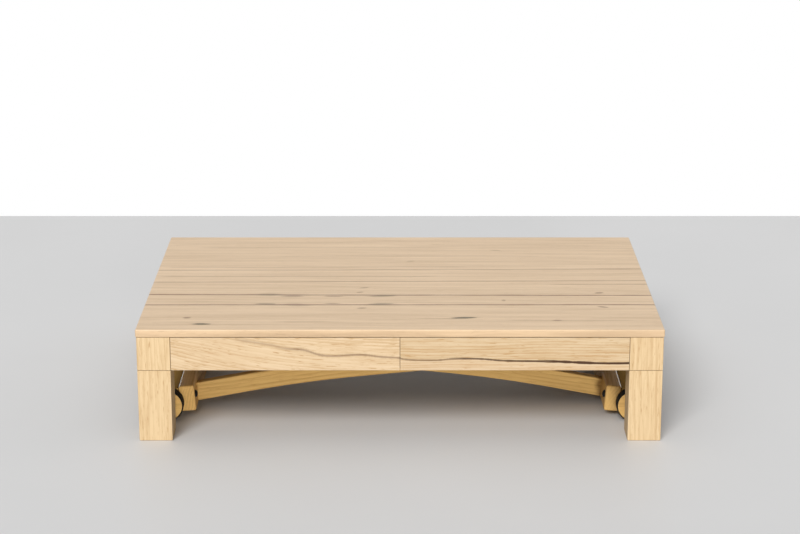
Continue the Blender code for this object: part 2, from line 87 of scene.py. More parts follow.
def apart(tree, vector):
    return put(tree, "ShaderNodeSeparateXYZ", {0: vector}).outputs


def together(tree, x=0.0, y=0.0, z=0.0):
    return put(tree, "ShaderNodeCombineXYZ", {0: x, 1: y, 2: z}).outputs[0]


def maths(tree, operation, *terms, clamp=False):
    sockets = dict(enumerate(terms))
    made = put(tree, "ShaderNodeMath", sockets, operation=operation, use_clamp=clamp)
    return made.outputs[0]


def vectors(tree, operation, *terms):
    made = put(tree, "ShaderNodeVectorMath", dict(enumerate(terms)), operation=operation)
    return made.outputs["Value" if operation == "LENGTH" else "Vector"]


def ramp(tree, value, low, high, out_low=0.0, out_high=1.0):
    sockets = {0: value, 1: low, 2: high, 3: out_low, 4: out_high}
    made = put(tree, "ShaderNodeMapRange", sockets, interpolation_type="SMOOTHSTEP")
    return made.outputs[0]


def blend(tree, share, first, second):
    made = put(tree, "ShaderNodeMix", {0: share, 6: first, 7: second}, data_type="RGBA")
    return made.outputs[2]


def mottling(tree, vector, scale, detail, roughness=0.5):
    """Noise, as a grey under Fac and as a colour under Color."""
    sockets = {"Vector": vector, "Scale": scale, "Detail": detail, "Roughness": roughness}
    return put(tree, "ShaderNodeTexNoise", sockets).outputs


def streaks(tree, vector, along, across, detail):
    """Noise drawn out along the grain, which runs along the vector's X."""
    drawn = vectors(tree, "MULTIPLY", vector, (along, across, across))
    return mottling(tree, drawn, scale=1.0, detail=detail)


def shared(name, inputs, outputs):
    """An empty shader group with named sockets."""
    tree = bpy.data.node_groups.new(name, "ShaderNodeTree")
    for kind, label, value in inputs:
        socket = tree.interface.new_socket(label, in_out="INPUT", socket_type=f"NodeSocket{kind}")
        if value is not None:
            socket.default_value = value
    for kind, label in outputs:
        tree.interface.new_socket(label, in_out="OUTPUT", socket_type=f"NodeSocket{kind}")
    have = tree.nodes.new("NodeGroupInput").outputs
    give = tree.nodes.new("NodeGroupOutput").inputs
    return tree, have, give


# Oak: growth rings cut by the surface, fibres, and the short open pores between them.
oak_grain, have, give = shared(
    "oak grain",
    [("Vector", "Vector", None), ("Float", "Tilt", 0.0), ("Vector", "Bow", (0.0, 0.0, 0.0)),
     ("Float", "Ring Scale", 45.0), ("Float", "Rings", 0.5), ("Float", "Fibre Scale", 200.0),
     ("Float", "Fibres", 0.5), ("Float", "Pores", 0.5), ("Float", "Tone", 0.5),
     ("Float", "Satin", 0.42), ("Color", "Pale", (0.8, 0.6, 0.36, 1.0)),
     ("Color", "Dark", (0.5, 0.33, 0.16, 1.0))],
    [("Color", "Color"), ("Float", "Roughness"), ("Float", "Height")])
tree = oak_grain
GRAIN_SWAY = 0.03
RING_STRETCH = 0.12
FIBRE_STRETCH = 0.045
LEAST_DARK = 0.15
DARK_IS_ROUGHER = 0.14
tilted = put(tree, "ShaderNodeVectorRotate", {"Vector": have["Vector"], "Angle": have["Tilt"]},
             rotation_type="Z_AXIS").outputs[0]
along = apart(tree, tilted)[0]
bow = put(tree, "ShaderNodeVectorMath",
          {0: have["Bow"], "Scale": maths(tree, "MULTIPLY", along, along)},
          operation="SCALE").outputs[0]
wander = streaks(tree, tilted, along=1.6, across=8.0, detail=2.0)["Color"]
wander = vectors(tree, "SUBTRACT", wander, (0.5, 0.5, 0.5))
wander = vectors(tree, "MULTIPLY", wander, (0.0, GRAIN_SWAY, GRAIN_SWAY))
bent = vectors(tree, "ADD", vectors(tree, "ADD", tilted, wander), bow)
squeezed = vectors(tree, "MULTIPLY", bent, (RING_STRETCH, 1.0, 1.0))
rings = put(tree, "ShaderNodeTexWave",
            {"Vector": squeezed, "Scale": have["Ring Scale"], "Distortion": 4.0, "Detail": 3.0,
             "Detail Scale": 0.6},
            wave_type="RINGS", rings_direction="X", wave_profile="SAW").outputs["Fac"]
fading = streaks(tree, bent, along=3.0, across=45.0, detail=2.0)["Fac"]
fading = ramp(tree, fading, 0.35, 0.65, 0.25, 1.0)
late_wood = maths(tree, "MULTIPLY", maths(tree, "POWER", rings, 3.0), fading)
fibre_along = maths(tree, "MULTIPLY", have["Fibre Scale"], FIBRE_STRETCH)
drawn = together(tree, fibre_along, have["Fibre Scale"], have["Fibre Scale"])
drawn = vectors(tree, "MULTIPLY", bent, drawn)
fibres = mottling(tree, drawn, scale=1.0, detail=5.0, roughness=0.6)["Fac"]
fibres = ramp(tree, fibres, 0.28, 0.72)
specks = streaks(tree, bent, along=42.0, across=520.0, detail=3.0)["Fac"]
open_rows = ramp(tree, rings, 0.15, 0.6, 1.0, 0.3)
pores = maths(tree, "MULTIPLY", ramp(tree, specks, 0.57, 0.68), open_rows)
tone = streaks(tree, bent, along=0.9, across=14.0, detail=3.0)["Fac"]
tone = maths(tree, "SUBTRACT", tone, 0.5)
share = maths(tree, "MULTIPLY", late_wood, have["Rings"])
share = maths(tree, "MULTIPLY_ADD", maths(tree, "SUBTRACT", fibres, 0.5), have["Fibres"], share)
share = maths(tree, "MULTIPLY_ADD", tone, have["Tone"], share)
share = maths(tree, "MULTIPLY_ADD", pores, have["Pores"], share)
share = maths(tree, "ADD", share, LEAST_DARK, clamp=True)
tree.links.new(blend(tree, share, have["Pale"], have["Dark"]), give["Color"])
roughness = maths(tree, "MULTIPLY_ADD", share, DARK_IS_ROUGHER, have["Satin"])
tree.links.new(roughness, give["Roughness"])
dip = maths(tree, "MULTIPLY_ADD", late_wood, 0.2, maths(tree, "MULTIPLY", pores, -1.0))
tree.links.new(maths(tree, "MULTIPLY_ADD", fibres, 0.3, dip), give["Height"])

# A thin dark line along the grain, which wanders and swells.
mineral_line, have, give = shared(
    "mineral line",
    [("Vector", "Vector", None), ("Float", "At", 0.0), ("Float", "Slope", 0.0),
     ("Float", "Wander", 0.006), ("Float", "Half Width", 0.002), ("Float", "Start", -1.0),
     ("Float", "End", 1.0), ("Float", "Fade", 0.025)],
    [("Float", "Mask")])
tree = mineral_line
# Lines at different places wander differently.
LINE_APART = 97.0
along, across, _ = apart(tree, have["Vector"])
row = together(tree, along, maths(tree, "MULTIPLY", have["At"], LINE_APART))
sway = mottling(tree, row, scale=5.0, detail=3.0)["Fac"]
swell = mottling(tree, row, scale=13.0, detail=2.0)["Fac"]
middle = maths(tree, "MULTIPLY_ADD", along, have["Slope"], have["At"])
sway = maths(tree, "SUBTRACT", sway, 0.5)
middle = maths(tree, "MULTIPLY_ADD", sway, have["Wander"], middle)
away = maths(tree, "ABSOLUTE", maths(tree, "SUBTRACT", across, middle))
width = maths(tree, "MULTIPLY", have["Half Width"], ramp(tree, swell, 0.25, 0.75, 0.8, 1.25))
mask = ramp(tree, maths(tree, "DIVIDE", away, width), 1.0, 0.55)
past_start = maths(tree, "SUBTRACT", along, have["Start"])
before_end = maths(tree, "SUBTRACT", have["End"], along)
for distance in (past_start, before_end):
    inside = ramp(tree, maths(tree, "DIVIDE", distance, have["Fade"]), -1.0, 1.0)
    mask = maths(tree, "MULTIPLY", mask, inside)
tree.links.new(mask, give["Mask"])

# A knot: a filled eye drawn out along the grain, in a stained ring of bent fibres.
knot_eye, have, give = shared(
    "knot",
    [("Vector", "Vector", None), ("Vector", "Centre", (0.0, 0.0, 0.0)),
     ("Float", "Half Length", 0.02), ("Float", "Half Width", 0.006), ("Float", "Lean", 0.0)],
    [("Float", "Eye"), ("Float", "Stain")])
tree = knot_eye
THROUGH_BOARD = 1000.0
FRAYING = 0.7
size = together(tree, have["Half Length"], have["Half Width"], THROUGH_BOARD)
local = vectors(tree, "SUBTRACT", have["Vector"], have["Centre"])
local = put(tree, "ShaderNodeVectorRotate",
            {"Vector": local, "Angle": maths(tree, "MULTIPLY", have["Lean"], -1.0)},
            rotation_type="Z_AXIS").outputs[0]
along, across, _ = apart(tree, vectors(tree, "DIVIDE", local, size))
rough_edge = streaks(tree, have["Vector"], along=40.0, across=160.0, detail=3.0)["Fac"]
rough_edge = maths(tree, "SUBTRACT", rough_edge, 0.5)
reach = maths(tree, "MULTIPLY_ADD", along, along, maths(tree, "ABSOLUTE", across))
reach = maths(tree, "MULTIPLY_ADD", rough_edge, FRAYING, reach)
tree.links.new(ramp(tree, reach, 1.05, 0.85), give["Eye"])
tree.links.new(ramp(tree, reach, 2.4, 0.7), give["Stain"])


def new_finish(name):
    """A material, with its tree and its shader."""
    finish = bpy.data.materials.new(name)
    finish.use_nodes = True
    return finish, finish.node_tree, finish.node_tree.nodes["Principled BSDF"]


GRAIN_TURN = {
    "X": (0.0, 0.0, 0.0), "Y": (0.0, 0.0, -math.pi / 2), "Z": (0.0, math.pi / 2, 0.0)}
RING_AT_UNIT_SCALE = 0.1 * math.pi
PORE_DEPTH = 0.0004


def oak(name, along, heart, tilt=0.0, lean=0.0, bow=(0.0, 0.0, 0.0), rings=0.4, ring_gap=0.008,
        fibre_scale=190.0, fibres=0.42, pores=0.45, tone=0.6, satin=0.42, shine=0.5,
        pale=(0.600, 0.433, 0.247), dark=(0.380, 0.239, 0.110)):
    """Oiled oak with its grain along one axis, and the tree's heart at an offset from the piece."""
    finish, tree, shader = new_finish(name)
    turn = Vector(GRAIN_TURN[along]) + Vector((0.0, lean, 0.0))
    laid = put(tree, "ShaderNodeMapping",
               {"Vector": place_on(tree), "Rotation": turn, "Location": heart}).outputs[0]
    ring_scale = RING_AT_UNIT_SCALE / ring_gap
    grain = put(tree, "ShaderNodeGroup", {
        "Vector": laid, "Tilt": tilt, "Bow": bow, "Ring Scale": ring_scale, "Rings": rings,
        "Fibre Scale": fibre_scale, "Fibres": fibres, "Pores": pores, "Tone": tone,
        "Satin": satin, "Pale": (*pale, 1.0), "Dark": (*dark, 1.0)},
        node_tree=oak_grain, name="grain")
    relief = put(tree, "ShaderNodeBump", {
        "Strength": 0.35, "Distance": PORE_DEPTH, "Height": grain.outputs["Height"]})
    shader.inputs["Specular IOR Level"].default_value = shine
    tree.links.new(grain.outputs["Color"], shader.inputs["Base Color"])
    tree.links.new(grain.outputs["Roughness"], shader.inputs["Roughness"])
    tree.links.new(relief.outputs[0], shader.inputs["Normal"])
    return finish


def stain(finish, mask, share, colour):
    """Lays a share of a colour over a finish, where a mask is."""
    tree = finish.node_tree
    target = tree.nodes["Principled BSDF"].inputs["Base Color"]
    under = target.links[0].from_socket
    share = maths(tree, "MULTIPLY", mask, share)
    tree.links.new(blend(tree, share, under, (*colour, 1.0)), target)


def bring_in(name, data):
    """A new object in the scene, at the origin."""
    made = bpy.data.objects.new(name, data)
    bpy.context.scene.collection.objects.link(made)
    return made


MERGE_DISTANCE = 1e-5
FLAT_WITHIN = math.radians(0.2)
SHARP_ABOVE = math.radians(50)


def surface(node, finish):
    """A closed copy of a solid with its eased edges shaded round, in place of the solid."""
    shape = bmesh.new()
    shape.from_mesh(solids[node].data)
    bmesh.ops.remove_doubles(shape, verts=shape.verts, dist=MERGE_DISTANCE)
    bmesh.ops.dissolve_limit(shape, angle_limit=FLAT_WITHIN, verts=shape.verts, edges=shape.edges)
    for face in shape.faces:
        face.smooth = True
    mesh = bpy.data.meshes.new(f"{node}_surface")
    shape.to_mesh(mesh)
    shape.free()
    mesh.set_sharp_from_angle(angle=SHARP_ABOVE)
    mesh.materials.append(finish)
    made = bring_in(f"{node}_surface", mesh)
    weighted = made.modifiers.new("flat faces stay flat", "WEIGHTED_NORMAL")
    weighted.keep_sharp = True
    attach(made, solids[node]["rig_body"])
    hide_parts(node)


top_oak = oak("oak of the top", "X", (0.4, 0.31, -0.30), tilt=0.01, rings=0.16, ring_gap=0.016,
              fibre_scale=70.0, fibres=0.40, pores=0.35, tone=0.5, satin=0.36,
              pale=(0.652, 0.466, 0.282), dark=(0.39, 0.260, 0.143))
tree = top_oak.node_tree
place = place_on(tree)
# Each line: its place from front to back at the table's middle, its slope, its half width, how dark
# it is, its start and its end.
LINE_BROWN = (0.157, 0.066, 0.014)
for at, slope, half_width, depth, start, end in [
        (0.117, 0.010, 0.0032, 0.35, -0.57, 0.15),
        (0.0915, 0.010, 0.0042, 0.44, -0.7, 0.7),
        (0.031, 0.0, 0.0042, 0.32, -0.58, 0.08),
        (-0.012, 0.012, 0.0042, 0.48, -0.7, 0.7),
        (-0.037, 0.0, 0.0034, 0.45, 0.37, 0.7),
        (-0.127, -0.006, 0.0046, 0.84, -0.7, 0.7),
        (-0.207, 0.002, 0.0046, 0.80, -0.7, 0.7),
        (-0.328, 0.0, 0.0022, 0.42, 0.25, 0.53),
        (-0.339, 0.0, 0.0022, 0.32, -0.277, -0.17),
        (0.215, 0.0, 0.0034, 0.20, -0.3, 0.35),
        (0.300, 0.0, 0.0034, 0.20, -0.5, 0.1),
        (-0.316, 0.0, 0.0022, 0.40, 0.045, 0.13),
        (0.0968, 0.0, 0.0046, 0.40, 0.50, 0.565)]:
    line = put(tree, "ShaderNodeGroup", {
        "Vector": place, "At": at, "Slope": slope, "Half Width": half_width, "Start": start,
        "End": end}, node_tree=mineral_line)
    stain(top_oak, line.outputs["Mask"], depth, LINE_BROWN)
# Each knot: its place along and across, its half length and half width, its lean, how dark its eye
# is, and its colour.
GREY_EYE = (0.098, 0.068, 0.010)
BROWN_EYE = (0.150, 0.062, 0.014)
KNOT_RING = (0.215, 0.130, 0.055)
KNOT_RING_DEPTH = 0.25
for x, y, half_length, half_width, lean, depth, colour in [
        (-0.311, -0.124, 0.034, 0.0080, 0.0, 0.42, GREY_EYE),
        (-0.256, -0.136, 0.028, 0.0060, 0.0, 0.48, BROWN_EYE),
        (-0.157, -0.137, 0.024, 0.0036, 0.0, 0.55, BROWN_EYE),
        (-0.039, -0.133, 0.034, 0.0075, 0.12, 0.55, GREY_EYE),
        (-0.315, -0.200, 0.027, 0.0060, 0.0, 0.52, GREY_EYE),
        (-0.244, -0.207, 0.034, 0.0080, -0.1, 0.42, BROWN_EYE),
        (-0.159, -0.197, 0.020, 0.0034, 0.0, 0.45, BROWN_EYE),
        (-0.046, -0.201, 0.033, 0.0072, 0.1, 0.54, GREY_EYE),
        (-0.089, -0.233, 0.012, 0.0042, 0.2, 0.45, BROWN_EYE),
        (-0.096, -0.104, 0.009, 0.0036, 0.3, 0.45, BROWN_EYE),
        (-0.086, -0.066, 0.012, 0.0034, 0.3, 0.40, BROWN_EYE),
        (-0.491, -0.309, 0.010, 0.0045, 0.0, 0.65, BROWN_EYE),
        (-0.453, -0.357, 0.0235, 0.0060, 0.0, 1.0, GREY_EYE),
        (0.147, -0.309, 0.033, 0.0064, 0.08, 1.0, GREY_EYE),
        (0.476, -0.109, 0.011, 0.0048, 0.3, 0.65, BROWN_EYE),
        (0.475, -0.224, 0.013, 0.0044, -0.3, 0.60, BROWN_EYE),
        (0.245, -0.171, 0.0045, 0.0055, 0.0, 0.36, BROWN_EYE),
        (0.361, -0.329, 0.012, 0.0040, 0.0, 0.50, BROWN_EYE),
        (0.026, 0.168, 0.010, 0.0034, 0.25, 0.16, BROWN_EYE),
        (0.245, 0.27, 0.012, 0.0035, -0.2, 0.14, BROWN_EYE)]:
    knot = put(tree, "ShaderNodeGroup", {
        "Vector": place, "Centre": (x, y, 0.0), "Half Length": half_length,
        "Half Width": half_width, "Lean": lean}, node_tree=knot_eye)
    stain(top_oak, knot.outputs["Stain"], KNOT_RING_DEPTH, KNOT_RING)
    stain(top_oak, knot.outputs["Eye"], depth, colour)
# The long edges of the board have taken more oil along their fibres, and along their upper
# corner paler oak is laid as a painted highlight. The lower face is laid a darker brown.
HALF_DEPTH = 0.400
UPPER_FACE, LOWER_FACE = 0.268, 0.249
EDGE_OIL = (0.224, 0.151, 0.092)
OIL_BY_FIBRE, OIL_STARTS = 2.2, -0.525
PAINTED_HIGHLIGHT_OAK, PAINTED_HIGHLIGHT_SHARE = (0.66, 0.50, 0.33), 0.18
UNDERSIDE_BROWN, UNDERSIDE_BROWN_SHARE = (0.25, 0.15, 0.06), 0.75
_, across, height = apart(tree, place)
outward = maths(tree, "ABSOLUTE", across)
edge = ramp(tree, outward, HALF_DEPTH - 0.003, HALF_DEPTH - 0.001)
fibre = tree.nodes["grain"].outputs["Roughness"]
stain(top_oak, edge, maths(tree, "MULTIPLY_ADD", fibre, OIL_BY_FIBRE, OIL_STARTS), EDGE_OIL)
# Painted highlight: paler oak laid along the upper corner of the long edges.
near_edge = ramp(tree, outward, HALF_DEPTH - 0.0045, HALF_DEPTH - 0.0025)
near_face = ramp(tree, height, UPPER_FACE - 0.0045, UPPER_FACE - 0.0025)
painted_highlight = maths(tree, "MULTIPLY", near_edge, near_face)
stain(top_oak, painted_highlight, PAINTED_HIGHLIGHT_SHARE, PAINTED_HIGHLIGHT_OAK)
# The lower face of the board is made a darker brown.
underside = ramp(tree, height, LOWER_FACE + 0.0005, LOWER_FACE + 0.0001)
stain(top_oak, underside, UNDERSIDE_BROWN_SHARE, UNDERSIDE_BROWN)
surface("table_top", top_oak)


# Corner blocks and stub legs: square oak posts, each sawn through at the foot of the box. The block
# stays with the aprons, and the leg below plugs into it by a round tenon. The grain runs upright
# through both.
POST_GRAIN = {"rings": 0.36, "ring_gap": 0.010, "fibres": 0.62, "pores": 0.75,
              "pale": (0.562, 0.418, 0.247)}
FURTHER_DOWN = 0.4
for number, corner in enumerate(("front_left", "front_right", "rear_left", "rear_right")):
    x, y, z = 0.11 + 0.07 * number, 0.16 - 0.05 * number, 0.21
    post = oak(f"oak of the {corner} post", "Z", (x, y, z), tilt=0.015, shine=0.15, **POST_GRAIN)
    surface(f"corner_block_{corner}", post)
    stub = oak(f"oak of the {corner} stub", "Z", (x + FURTHER_DOWN, y, z), tilt=-0.01,
               shine=0.02, **POST_GRAIN)
    surface(f"leg_{corner}", stub)


# Aprons and inner rail: planed oak boards on edge, tenoned into the corner blocks at the sides and
# the back. The rail behind the drawers is plainer, browner stock, butted between the side aprons.
for number, board in enumerate(("side_apron_left", "side_apron_right")):
    surface(board, oak(f"oak of {board}", "Y", (0.2 + number, 0.14, 0.25), tilt=0.03, rings=0.4))
surface("rear_apron", oak("oak of rear_apron", "X", (0.7, 0.22, 0.16), tilt=-0.02, rings=0.4))
INNER_WOOD = {"pale": (0.44, 0.30, 0.16), "dark": (0.28, 0.17, 0.075)}
surface("inner_rail",
        oak("oak of inner_rail", "X", (1.9, 0.2, 0.18), tilt=0.02, rings=0.35, **INNER_WOOD))


# Drawer fronts: two lengths of oak flush with the corner blocks, butted to the drawer sides and
# chamfered behind the lower edge for fingers. The left one has slanting cathedral grain and a brown
# streak, and a dark open shake runs along the right one, with paler sapwood below it.

def drawn_path(front, points):
    """The height of a smooth curve through the points, at each place along a front."""
    tree = front.node_tree
    (start, end), (low, high) = [(min(side), max(side)) for side in zip(*points)]
    along = apart(tree, place_on(tree))[0]
    share = put(tree, "ShaderNodeMapRange", {0: along, 1: start, 2: end}).outputs[0]
    curve = put(tree, "ShaderNodeFloatCurve", {"Value": share})
    marks = curve.mapping.curves[0].points
    while len(marks) < len(points):
        marks.new(0.5, 0.5)
    for mark, (x, z) in zip(marks, points):
        mark.location = ((x - start) / (end - start), (z - low) / (high - low))
    curve.mapping.update()
    return put(tree, "ShaderNodeMapRange", {0: curve.outputs[0], 3: low, 4: high}).outputs[0]


def lay_streak(front, height, colour, stretches):
    """A dark streak along a path. Each stretch: half width, darkness, start and end."""
    tree = front.node_tree
    face_on = put(tree, "ShaderNodeMapping", {
        "Vector": place_on(tree), "Rotation": (-math.pi / 2, 0.0, 0.0)}).outputs[0]
    for half_width, depth, start, end in stretches:
        streak = put(tree, "ShaderNodeGroup", {
            "Vector": face_on, "At": height, "Wander": 0.001, "Half Width": half_width,
            "Start": start, "End": end, "Fade": 0.02}, node_tree=mineral_line)
        stain(front, streak.outputs["Mask"], depth, colour)


left_oak = oak("oak of the left drawer front", "X", (0.0, 0.60, -0.53), bow=(0.0, 0.0, -0.24),
               rings=0.7, ring_gap=0.006, pores=1.15, fibres=0.5, shine=0.3,
               pale=(0.544, 0.410, 0.261))
left_path = drawn_path(left_oak, [
    (-0.40, 0.248), (-0.29, 0.2303), (-0.254, 0.222), (-0.229, 0.2208), (-0.16, 0.2049),
    (-0.09, 0.2079), (-0.045, 0.203), (0.0, 0.2003)])
STREAK_BROWN = (0.098, 0.051, 0.026)
lay_streak(left_oak, left_path, STREAK_BROWN, [
    (0.0065, 0.13, -0.37, -0.20), (0.0048, 0.14, -0.20, 0.1), (0.0026, 0.20, -0.37, -0.24),
    (0.0028, 0.42, -0.25, -0.09), (0.0025, 0.46, -0.10, 0.1)])
surface("drawer_left_front", left_oak)

right_oak = oak("oak of the right drawer front", "X", (1.3, 0.56, -0.57), rings=0.85,
                ring_gap=0.006, pores=1.1, fibres=0.7, shine=0.3, pale=(0.496, 0.374, 0.234))
right_path = drawn_path(right_oak, [
    (0.0, 0.201), (0.072, 0.1945), (0.139, 0.1988), (0.25, 0.1932), (0.34, 0.192),
    (0.48, 0.1874), (0.53, 0.188)])
SAPWOOD, SAPWOOD_SHARE = (0.575, 0.415, 0.285), 0.16
SHAKE_BROWN = (0.057, 0.027, 0.012)
tree = right_oak.node_tree
below_shake = maths(tree, "SUBTRACT", right_path, apart(tree, place_on(tree))[2])
stain(right_oak, ramp(tree, below_shake, 0.0, 0.004), SAPWOOD_SHARE, SAPWOOD)
lay_streak(right_oak, right_path, SHAKE_BROWN, [
    (0.0026, 0.56, -0.1, 0.14), (0.0025, 0.86, 0.13, 0.24), (0.0030, 0.93, 0.23, 0.34),
    (0.0037, 1.0, 0.33, 0.6)])
surface("drawer_right_front", right_oak)


# Drawer boxes and runners: thin planed oak of the browner stock, left bare. The sides are grooved
# for the bottom, and slide on an L at each end of the box and on a T in the middle.
BOX_BOARDS = {"outer_side": "Y", "inner_side": "Y", "back": "X", "bottom": "X"}
for number, side in enumerate(("left", "right")):
    for step, (board, along) in enumerate(BOX_BOARDS.items()):
        heart = (0.3 + number, 0.15 + 0.06 * step, 0.2)
        surface(f"drawer_{side}_{board}",
                oak(f"bare oak of {side} {board}", along, heart, tilt=0.02, rings=0.3,
                    **INNER_WOOD))
    surface(f"side_runner_{side}",
            oak(f"bare oak of {side} runner", "Y", (2.0 + number, 0.2, 0.1), rings=0.3,
                **INNER_WOOD))
surface("centre_runner",
        oak("bare oak of the middle runner", "Y", (4.0, 0.2, 0.1), rings=0.3, **INNER_WOOD))


# Racks and hinge blocks: thick oak pieces screwed up into the top. The racks are slotted and
# notched for the sliding bar, and the blocks are bored for the hinge bar.
for number, end in enumerate(("front", "rear")):
    surface(f"rack_{end}",
            oak(f"oak of {end} rack", "X", (0.6 + number, 0.17, 0.12), tilt=0.01, rings=0.35,
                **INNER_WOOD))
    surface(f"hinge_block_{end}",
            oak(f"oak of {end} hinge block", "X", (2.6 + number, 0.2, 0.14), rings=0.35,
                **INNER_WOOD))


# Screws: small flat-headed steel screws with a cross recess, driven up through the racks, the hinge
# blocks and the middle runner into the table top. Their heads lie on the lower faces.
steel, tree, shader = new_finish("bright steel")
shader.inputs["Metallic"].default_value = 1.0
STEEL_GREY, STEEL_BRIGHT = (0.50, 0.49, 0.47, 1.0), (0.68, 0.67, 0.65, 1.0)
ALONG_THE_ROD = (900.0, 6.0, 900.0)
draw_lines = vectors(tree, "MULTIPLY", place_on(tree), ALONG_THE_ROD)
draw_lines = mottling(tree, draw_lines, scale=1.0, detail=2.0)["Fac"]
tree.links.new(blend(tree, draw_lines, STEEL_GREY, STEEL_BRIGHT), shader.inputs["Base Color"])
tree.links.new(ramp(tree, draw_lines, 0.3, 0.7, 0.24, 0.4), shader.inputs["Roughness"])

HEAD_SIZES = {"Head Radius": 0.0034, "Head Height": 0.0006, "Recess Width": 0.0009}
screw_heads = bpy.data.node_groups.new("screw heads", "GeometryNodeTree")
screw_heads.interface.new_socket("Places", in_out="INPUT", socket_type="NodeSocketGeometry")
for label in HEAD_SIZES:
    screw_heads.interface.new_socket(label, in_out="INPUT", socket_type="NodeSocketFloat")
screw_heads.interface.new_socket("Screws", in_out="OUTPUT", socket_type="NodeSocketGeometry")
tree = screw_heads
have = tree.nodes.new("NodeGroupInput").outputs
disc = put(tree, "GeometryNodeMeshCylinder", {
    "Vertices": 20, "Radius": have["Head Radius"], "Depth": have["Head Height"]}).outputs["Mesh"]
RECESS_TO_RADIUS, DROP_TO_HEIGHT = 1.2, -0.4
recess_length = maths(tree, "MULTIPLY", have["Head Radius"], RECESS_TO_RADIUS)
recess_drop = together(tree, z=maths(tree, "MULTIPLY", have["Head Height"], DROP_TO_HEIGHT))
bars = put(tree, "GeometryNodeJoinGeometry")
for length, width in [(recess_length, have["Recess Width"]), (have["Recess Width"], recess_length)]:
    size = together(tree, length, width, have["Head Height"])
    bar = put(tree, "GeometryNodeMeshCube", {"Size": size}).outputs["Mesh"]
    lowered = put(tree, "GeometryNodeTransform", {"Geometry": bar, "Translation": recess_drop})
    tree.links.new(lowered.outputs["Geometry"], bars.inputs[0])
head = put(tree, "GeometryNodeMeshBoolean", {"Mesh 1": disc, "Mesh 2": bars.outputs[0]},
           operation="DIFFERENCE").outputs["Mesh"]
placed = put(tree, "GeometryNodeInstanceOnPoints", {
    "Points": have["Places"], "Instance": head}).outputs["Instances"]
plain = put(tree, "GeometryNodeRealizeInstances", {"Geometry": placed}).outputs["Geometry"]
finished = put(tree, "GeometryNodeSetMaterial", {"Geometry": plain, "Material": steel})
put(tree, "NodeGroupOutput", {0: finished.outputs["Geometry"]})

HALF_HEAD = HEAD_SIZES["Head Height"] / 2
RACK_STEPS = (0.08, 0.5, 0.92)
BLOCK_STEPS = (0.26, 0.74)
RUNNER_STEPS = (0.15, 0.85)
screw_places = []
for node, steps in {"rack_front": RACK_STEPS, "rack_rear": RACK_STEPS,
                    "hinge_block_front": BLOCK_STEPS, "hinge_block_rear": BLOCK_STEPS}.items():
    low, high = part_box(node)
    for step in steps:
        screw_places.append((low[0] + (high[0] - low[0]) * step, (low[1] + high[1]) / 2,
                             low[2] - HALF_HEAD))
low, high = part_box("centre_runner")
for step in RUNNER_STEPS:
    screw_places.append((0.0, low[1] + (high[1] - low[1]) * step, low[2] - HALF_HEAD))
seeds = bpy.data.meshes.new("screw places")
seeds.from_pydata(screw_places, [], [])
screws = bring_in("table_screws", seeds)
growth = screws.modifiers.new("screw heads", "NODES")
growth.node_group = screw_heads
for item in screw_heads.interface.items_tree:
    if item.name in HEAD_SIZES:
        growth[item.identifier] = HEAD_SIZES[item.name]
grown = screws.evaluated_get(bpy.context.evaluated_depsgraph_get())
finished_screws = bpy.data.meshes.new_from_object(grown)
screws.modifiers.remove(growth)
screws.data = finished_screws
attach(screws, "table")


# Crossed arms: four long oak arms bandsawn to a slow S, with rounded edges and a warmer oil. The
# feet of each pair are let into a beam, and a bar under the top runs through their heads.

def painted_lighter_or_darker(wood, share):
    """The same wood painted paler or darker, as painted light and painted shade on each piece."""
    return {part: tuple(value * share for value in colour) for part, colour in wood.items()}


ARM_WOOD = {"pale": (0.585, 0.37, 0.130), "dark": (0.34, 0.19, 0.056)}
# From an axle up and across to the bar under the top, with the table down.
ARM_RISE, ARM_RUN = 0.1495, 1.094
fold = math.atan2(ARM_RISE, ARM_RUN)
# The front outer arm is painted paler than the others: painted light.
for number, (arm, lean, tone) in enumerate([
        ("outer_arm_front", fold, 1.07), ("outer_arm_rear", fold, 1.0),
        ("inner_arm_front", -fold, 1.0), ("inner_arm_rear", -fold, 1.0)]):
    surface(arm, oak(f"oak of {arm}", "X", (0.5 + number, 0.3, 0.19), tilt=0.01, lean=lean,
                     rings=0.45, ring_gap=0.009, satin=0.5, shine=0.1, **painted_lighter_or_darker(ARM_WOOD, tone)))


# Foot beams and axle rails: a heavy oak beam across the foot of each frame, its edges well rounded
# and the upper outer one polished by hands, and a round-backed rail bolted along its outer face
# that holds the axle.
BEAM_WOOD = {"pale": (0.686, 0.425, 0.142), "dark": (0.42, 0.23, 0.064)}
# The rails are painted a darker brown than the beams: painted shade.
RAIL_WOOD_PAINTED_SHADE = {"pale": (0.41, 0.25, 0.078), "dark": (0.25, 0.135, 0.037)}
POLISHED, POLISH_FADES = 0.005, 0.009
POLISH_ROUGHNESS = 0.08
# The right beam is painted darker than the left: painted shade.
for number, (side, tone) in enumerate({"left": 1.05, "right": 0.88}.items()):
    beam_oak = oak(f"oak of {side} beam", "Y", (0.4 + number, 0.9, 0.2), rings=0.7, ring_gap=0.007,
                   fibres=0.25, pores=0.2, **painted_lighter_or_darker(BEAM_WOOD, tone))
    tree = beam_oak.node_tree
    corners = [corner.co for corner in solids[f"{side}_beam"].data.vertices]
    edge = max(corners, key=lambda corner: abs(corner.x) + corner.z)
    away = vectors(tree, "SUBTRACT", place_on(tree), tuple(edge))
    away = vectors(tree, "LENGTH", vectors(tree, "MULTIPLY", away, (1.0, 0.0, 1.0)))
    polish = ramp(tree, away, POLISHED, POLISH_FADES, POLISH_ROUGHNESS, 1.0)
    roughness = tree.nodes["Principled BSDF"].inputs["Roughness"]
    tree.links.new(maths(tree, "MINIMUM", roughness.links[0].from_socket, polish), roughness)
    surface(f"{side}_beam", beam_oak)
    surface(f"{side}_axle_rail",
            oak(f"oak of {side} axle rail", "Y", (2.4 + number, 0.7, 0.3), rings=0.4, satin=0.5,
                shine=0.0, **RAIL_WOOD_PAINTED_SHADE))


